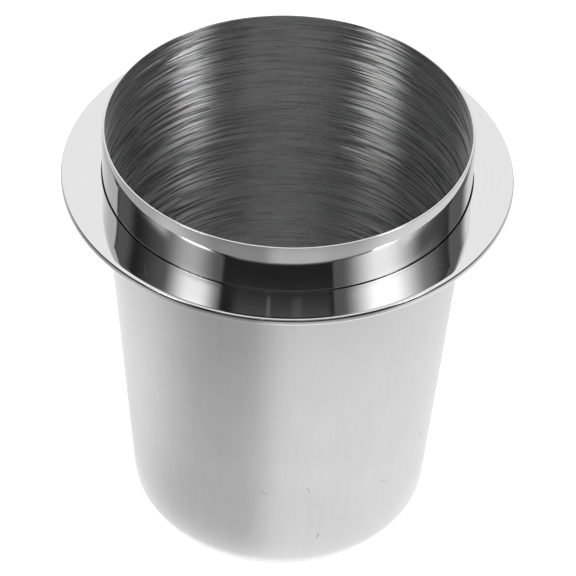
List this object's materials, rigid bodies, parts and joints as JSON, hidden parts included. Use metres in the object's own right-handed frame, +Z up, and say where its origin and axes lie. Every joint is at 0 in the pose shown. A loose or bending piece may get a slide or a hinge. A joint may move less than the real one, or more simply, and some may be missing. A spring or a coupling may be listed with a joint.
{
  "type": "coffee dosing cup",
  "caption": "Steel cup with a locating collar and a flat ring near its mouth, for tipping ground coffee into an espresso filter basket.",
  "frame": {"origin": "centre of the base on the surface that the cup stands on", "axes": "+Z up along the cup's axis, out of its mouth; X and Y are alike because the cup is round"},
  "size_m": [0.071, 0.071, 0.0737],
  "materials": {
    "satin_steel": "bead-blasted satin stainless steel body, polished collar above the ring, coarse turned brushing inside",
    "mirror_steel": "mirror-polished stainless steel with faint wear",
    "weld_steel": "cleaned weld bead, fine ripples"
  },
  "bodies": {
    "root": {"cup_shell": "satin_steel", "flange_ring": "mirror_steel", "weld_seam": "weld_steel"}
  },
  "joints": []
}
